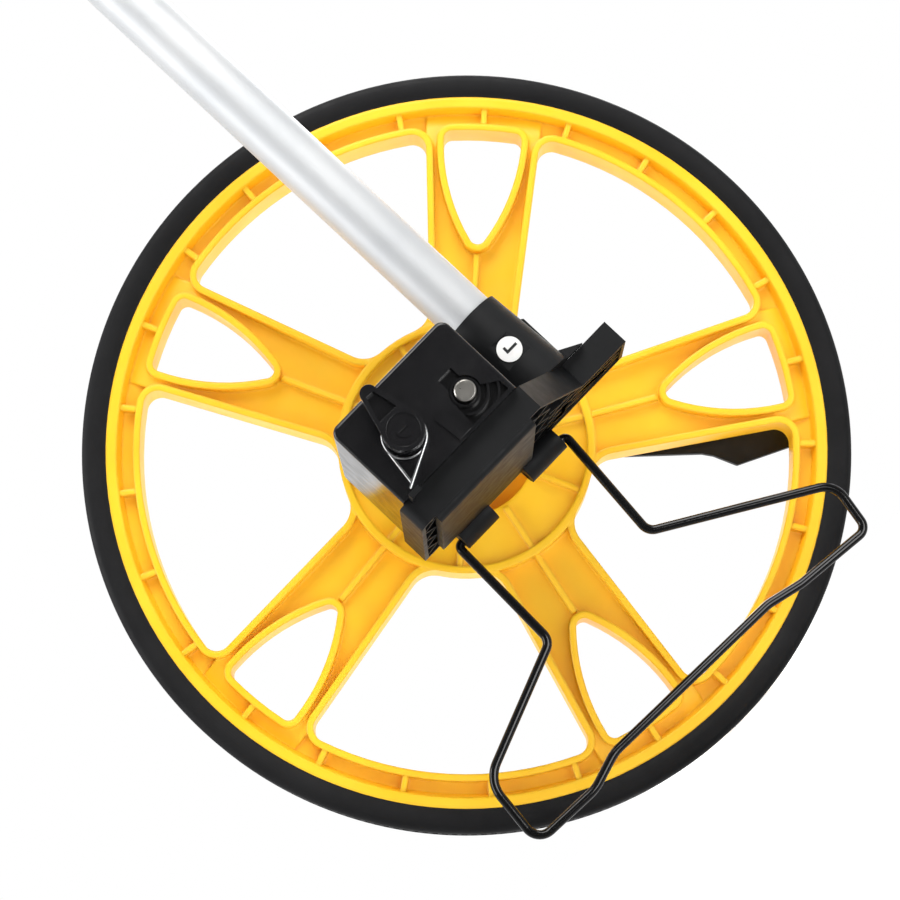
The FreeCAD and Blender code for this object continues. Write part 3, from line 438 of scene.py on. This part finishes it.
def block_ring_tree():
    """Rows of small raised blocks round an axis: the one tree behind the tread ribs and the grip pads."""
    tree = bpy.data.node_groups.new("rows of raised blocks", "GeometryNodeTree")
    tree.interface.new_socket("Geometry", in_out="OUTPUT", socket_type="NodeSocketGeometry")
    inputs = (("Count", "Int"), ("Rows", "Int"), ("Radius", "Float"), ("Row Pitch", "Float"),
              ("Stagger", "Float"), ("Block Size", "Vector"), ("Turn", "Rotation"), ("Place", "Vector"),
              ("Material", "Material"))
    for name, kind in inputs:
        tree.interface.new_socket(name, in_out="INPUT", socket_type="NodeSocket" + kind)
    given = tree.nodes.new("NodeGroupInput").outputs

    def number(operation, first, second):
        """One step of arithmetic on sockets or plain numbers."""
        node = add(tree, "ShaderNodeMath", operation=operation)
        for index, value in enumerate((first, second)):
            if isinstance(value, bpy.types.NodeSocket):
                tree.links.new(value, node.inputs[index])
            else:
                node.inputs[index].default_value = value
        return node.outputs[0]

    index = add(tree, "GeometryNodeInputIndex").outputs[0]
    row = number("FLOOR", number("DIVIDE", index, given["Count"]), 0)
    share = number("DIVIDE", number("ADD", index, number("MULTIPLY", row, given["Stagger"])), given["Count"])
    angle = number("MULTIPLY", share, 2 * math.pi)
    centred = number("SUBTRACT", row, number("DIVIDE", number("SUBTRACT", given["Rows"], 1), 2))
    along = number("MULTIPLY", centred, given["Row Pitch"])
    x = number("MULTIPLY", number("COSINE", angle, 0), given["Radius"])
    y = number("MULTIPLY", number("SINE", angle, 0), given["Radius"])
    spot = add(tree, "ShaderNodeCombineXYZ", {}, {0: x, 1: y, 2: along}).outputs[0]
    facing = add(tree, "ShaderNodeCombineXYZ", {}, {2: angle}).outputs[0]
    total = number("MULTIPLY", given["Count"], given["Rows"])
    points = add(tree, "GeometryNodePoints", {}, {"Count": total, "Position": spot}).outputs[0]
    tapered = {"Vertices": 4, "Radius Top": 0.5, "Radius Bottom": 0.7071, "Depth": 1.0}
    block = add(tree, "GeometryNodeMeshCone", tapered).outputs[0]
    eighth_turn = {"Rotation": (0, 0, math.pi / 4)}
    squared = add(tree, "GeometryNodeTransform", eighth_turn, {"Geometry": block}).outputs[0]
    quarter_turn = {"Rotation": (0, math.pi / 2, 0)}
    outward = add(tree, "GeometryNodeTransform", quarter_turn, {"Geometry": squared}).outputs[0]
    spread = {"Points": points, "Instance": outward, "Rotation": facing, "Scale": given["Block Size"]}
    copies = add(tree, "GeometryNodeInstanceOnPoints", {}, spread).outputs[0]
    position = {"Geometry": copies, "Rotation": given["Turn"], "Translation": given["Place"]}
    placed = add(tree, "GeometryNodeTransform", {}, position).outputs[0]
    real = add(tree, "GeometryNodeRealizeInstances", {}, {0: placed}).outputs[0]
    coloured = {"Geometry": real, "Material": given["Material"]}
    finished = add(tree, "GeometryNodeSetMaterial", {}, coloured).outputs[0]
    add(tree, "NodeGroupOutput", {}, {0: finished})
    return tree


def block_ring(name, tree, body, slot, **given):
    """One set of raised blocks from the tree, as a plain mesh on a body."""
    piece = mesh_piece(name + "_seed", bmesh.new())
    modifier = piece.modifiers.new("blocks", "NODES")
    modifier.node_group = tree
    for item in tree.interface.items_tree:
        key = item.name.lower().replace(" ", "_")
        if item.in_out == "INPUT":
            modifier[item.identifier] = given[key]
    plain = made_plain(piece, name)
    settle(plain, body)


# ------------------------------------------------------------------ pieces: wheel

def tyre_outline(inner, outer, half):
    """Tyre section: stepped side walls, round shoulders and a sunk middle band for the tread ribs."""
    shoulder = 3.4 * MM
    band_half = 5.0 * MM
    sunk = outer - 0.7 * MM
    side = [(inner, half - 0.9 * MM), (inner + 1.6 * MM, half - 0.5 * MM), (inner + 2.4 * MM, half)]
    side += arc_points((outer - shoulder, half - shoulder), shoulder, 90, 0, 8)
    side += [(outer, band_half + 0.5 * MM), (sunk, band_half)]
    return side + [(r, -y) for r, y in reversed(side)]


def make_tyre(material):
    """The tyre's ring; gives back its outer radius."""
    low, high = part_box("tyre")
    outer = (high[2] - low[2]) / 2
    half = (high[1] - low[1]) / 2
    inner = Vector(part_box("wheel_moulding")[1]).z - axle.z
    ring = revolved("tyre_ring", tyre_outline(inner, outer, half), axle, Vector((0, 1, 0)), 288)
    settle(ring, "wheel", material, ("tyre",))
    return outer


def make_tread(tree, outer, material):
    """Cross ribs standing in the tyre's sunk band, flush with its shoulders."""
    height = 0.66 * MM
    spacing = 4.0 * MM
    count = int(2 * math.pi * outer / spacing)
    block_ring("tyre_tread_ribs", tree, "wheel", "tyre_rubber", count=count, rows=1,
               radius=outer - 0.72 * MM, row_pitch=0.0, stagger=0.0,
               block_size=(height, 2.1 * MM, 9.2 * MM), turn=(math.pi / 2, 0, 0), place=axle,
               material=material)


# ------------------------------------------------------------------ pieces: counter

def make_digits(white, red):
    """Raised printed digits 0 to 9 round each drum; the fastest drum's digits are red."""
    for node in drum_names:
        body = body_of[node]
        shaft = Vector((pivot_of[body + "_spin"].x, 0, pivot_of[body + "_spin"].z))
        radius = 11.0 * MM
        face_middle = pivot_of[body + "_spin"].y
        digits = []
        for value in range(digits_per_turn):
            data = bpy.data.curves.new("digit", "FONT")
            data.body = str(value)
            data.size = 8.6 * MM
            data.align_x = "CENTER"
            data.align_y = "CENTER"
            data.extrude = 0.04 * MM
            data.resolution_u = 3
            source = bpy.data.objects.new("digit", data)
            bpy.context.scene.collection.objects.link(source)
            source.matrix_world = (Matrix.Translation(shaft + Vector((0, face_middle, 0)))
                                   @ Matrix.Rotation(math.radians(digit_angle * value), 4, "Y")
                                   @ Matrix.Translation((0, 0, radius))
                                   @ Matrix(((0, 1, 0, 0), (-1, 0, 0, 0), (0, 0, 1, 0), (0, 0, 0, 1))))
            bpy.context.view_layer.update()
            digits.append(made_plain(source, "digit"))
        piece = joined(node.replace("number_drum", "drum_digits"), digits)
        wrap_round(piece, shaft, radius)
        settle(piece, body, red if node == drum_names[0] else white)


def joined(name, parts):
    """Several mesh objects as one."""
    mesh = bmesh.new()
    for part in parts:
        mesh.from_mesh(part.data)
        bpy.data.objects.remove(part)
    return mesh_piece(name, mesh)


def wrap_round(piece, shaft, radius):
    """Bends flat digits onto the drum: each vertex keeps its height over the flat but follows the round."""
    for vertex in piece.data.vertices:
        out = Vector((vertex.co.x - shaft.x, 0, vertex.co.z - shaft.z))
        face = round(math.degrees(math.atan2(out.x, out.z)) / digit_angle)
        turn = math.radians(face * digit_angle)
        normal = Vector((math.sin(turn), 0, math.cos(turn)))
        level = out.dot(normal)
        sideways = out - normal * level
        along = Vector((normal.z, 0, -normal.x))
        angle = sideways.dot(along) / radius
        bent = (normal * math.cos(angle) + along * math.sin(angle)) * level
        vertex.co = Vector((shaft.x + bent.x, vertex.co.y, shaft.z + bent.z))


def tangent_angle(point, centre, radius, side):
    """The angle on a circle where a straight leg from an outside point touches it."""
    dx, dz = point[0] - centre[0], point[1] - centre[1]
    return math.atan2(dz, dx) + side * math.acos(radius / math.hypot(dx, dz))


def make_spring(material):
    """Torsion spring: two straight legs from the post, tangent to a wound coil round the lever's boss."""
    low, high = (Vector(corner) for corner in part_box("torsion_spring"))
    centre = (lever_axis.x, lever_axis.z)
    wire = 0.6 * MM
    coil = high.z - centre[1] - wire
    front = low.y + wire
    back = high.y - wire
    post = Vector(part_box("spring_post")[0])
    lower_end = (post.x + 2.4 * MM, post.z + 3.4 * MM)
    upper_end = (post.x + 4.6 * MM, post.z + 4.5 * MM)
    start = tangent_angle(lower_end, centre, coil, 1)
    finish = tangent_angle(upper_end, centre, coil, -1)
    sweep = (finish - start) % (2 * math.pi) + 4 * math.pi
    steps = 110
    path = [Vector((lower_end[0], front, lower_end[1]))]
    for step in range(steps + 1):
        angle = start + sweep * step / steps
        y = front + (back - front) * step / steps
        path.append(Vector((centre[0] + coil * math.cos(angle), y, centre[1] + coil * math.sin(angle))))
    path.append(Vector((upper_end[0], back, upper_end[1])))
    piece = wire_piece("torsion_spring_wire", path, wire)
    settle(piece, "frame", material, ("torsion_spring",))


def wire_piece(name, path, radius):
    """A round wire along a path, with closed ends."""
    data = bpy.data.curves.new(name, "CURVE")
    data.dimensions = "3D"
    data.bevel_depth = radius
    data.bevel_resolution = 3
    data.use_fill_caps = True
    spline = data.splines.new("POLY")
    spline.points.add(len(path) - 1)
    for point, place in zip(spline.points, path):
        point.co = (*place, 1)
    source = bpy.data.objects.new(name + "_path", data)
    bpy.context.scene.collection.objects.link(source)
    bpy.context.view_layer.update()
    plain = made_plain(source, name)
    plain.data.shade_smooth()
    return plain


def flat_print(name, outline, place, right, up, lift):
    """A thin flat shape of ink from a closed outline in a plane, standing proud by a lift."""
    out = right.cross(up)
    mesh = bmesh.new()
    lower = [mesh.verts.new(place + right * x + up * z) for x, z in outline]
    face = mesh.faces.new(lower)
    raised = bmesh.ops.extrude_face_region(mesh, geom=[face])
    moved = [item for item in raised["geom"] if isinstance(item, bmesh.types.BMVert)]
    bmesh.ops.translate(mesh, verts=moved, vec=out * lift)
    bmesh.ops.recalc_face_normals(mesh, faces=mesh.faces)
    return mesh_piece(name, mesh)


def make_label_mark(ink):
    """A plain tick printed on the round label."""
    low, high = (Vector(corner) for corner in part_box("socket_label"))
    centre = Vector(((low.x + high.x) / 2, low.y, (low.z + high.z) / 2))
    tick = [(-2.7, 0.1), (-1.9, 0.9), (-0.7, -0.4), (2.3, 2.8), (3.1, 2.0), (-0.7, -2.0)]
    outline = [(x * MM, z * MM) for x, z in tick]
    slant = math.radians(-46.3)
    level = Vector((math.cos(slant), 0, math.sin(slant)))
    upright = Vector((-math.sin(slant), 0, math.cos(slant)))
    piece = flat_print("label_tick", outline, centre, level, upright, 0.06 * MM)
    settle(piece, "frame", ink)


# ------------------------------------------------------------------ pieces: handle

def grip_outline(low, high, inner, outer):
    """Grip section along the tube: end flange, swells and the finger hollows between them."""
    length = high - low
    steps = 60
    hollows = 4
    flange_end = 6.0 * MM
    outside = [(outer + 2.3 * MM, 0.8 * MM), (outer + 2.5 * MM, 2.4 * MM), (outer + 2.0 * MM, 4.2 * MM)]
    for step in range(steps + 1):
        along = flange_end + (length - flange_end) * step / steps
        swell = 0.5 * (1 - math.cos(2 * math.pi * hollows * step / steps))
        outside.append((outer - 0.9 * MM * (1 - swell), along))
    return [(inner, 0.0), (outer + 1.5 * MM, 0.0)] + outside + [(inner, length)]


def make_grip(tree, material):
    """The soft grip sleeve and its rows of raised pads."""
    low, high = (Vector(corner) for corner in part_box("grip"))
    tube_low, tube_high = (Vector(corner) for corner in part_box("upper_tube"))
    centre = Vector(((low.x + high.x) / 2, (low.y + high.y) / 2, low.z))
    inner = (tube_high.x - tube_low.x) / 2
    outer = (high.x - low.x) / 2 - 2.5 * MM
    outline = grip_outline(low.z, high.z, inner, outer)
    body = revolved("grip_sleeve", outline, centre, Vector((0, 0, 1)), 96)
    settle(body, "upper_handle", material, ("grip",))
    block_ring("grip_pads", tree, "upper_handle", "grip_rubber", count=26, rows=17,
               radius=outer - 0.95 * MM, row_pitch=6.2 * MM, stagger=0.5,
               block_size=(1.25 * MM, 2.3 * MM, 3.9 * MM), turn=(0, 0, 0),
               place=centre + Vector((0, 0, 64.0 * MM)), material=material)


# ------------------------------------------------------------------ everything

right, up, back = make_camera()
light_studio(right, up, back)
make_world()
make_floor()

yellow = moulded_polypropylene()
rubber = vulcanised_rubber()
gloss = polished_abs()
satin = grained_abs()
silver = anodised_aluminium()
turned = turned_steel()
plated = plated_steel()
bright = spring_wire()
lacquer = dipped_lacquer()
bronze = sintered_bronze()
acetal = moulded_acetal()
drum = drum_plastic()
pane = clear_acrylic()
vinyl = label_vinyl()
soft = soft_grip_rubber()
black_ink = printing_ink("black printing ink", "#161618", "#222225")
white_ink = printing_ink("white printing ink", "#E4E3DE", "#F0EFEB")
red_ink = printing_ink("red printing ink", "#B3231B", "#C62E22")

kept_finishes = {
    silver: ("lower_tube", "upper_tube"),
    lacquer: ("wire_stand",),
    turned: ("axle", "drum_shaft", "pinion_shaft", "axle_spacer"),
    bronze: ("hub_bush_front", "hub_bush_back"),
    acetal: ("drive_sleeve", "transfer_pinion_1", "transfer_pinion_2", "transfer_pinion_3",
             "transfer_pinion_4", "counter_cradle"),
    drum: tuple(drum_names),
    pane: ("window_lens",),
    vinyl: ("socket_label",),
}
for material, members in kept_finishes.items():
    for node in members:
        nodes[node].data.materials.clear()
        nodes[node].data.materials.append(material)

softened("wheel_moulding", 0.8, 3, yellow)
for node in ("counter_housing", "counter_cover", "reset_lever", "lever_cap"):
    softened(node, 0.5, 2, gloss)
for node in ("bracket_beam", "stand_panel", "handle_socket", "pointer_arm", "fold_block_lower",
             "fold_block_upper", "fold_knob", "grip_cap", "spring_post"):
    softened(node, 0.6, 3, satin)
for node in ("axle_washer", "axle_nut", "fold_pin", "housing_screws", "socket_screw"):
    softened(node, 0.3, 2, plated)

blocks = block_ring_tree()
tyre_radius = make_tyre(rubber)
make_tread(blocks, tyre_radius, rubber)
make_digits(white_ink, red_ink)
make_spring(bright)
make_label_mark(black_ink)
make_grip(blocks, soft)
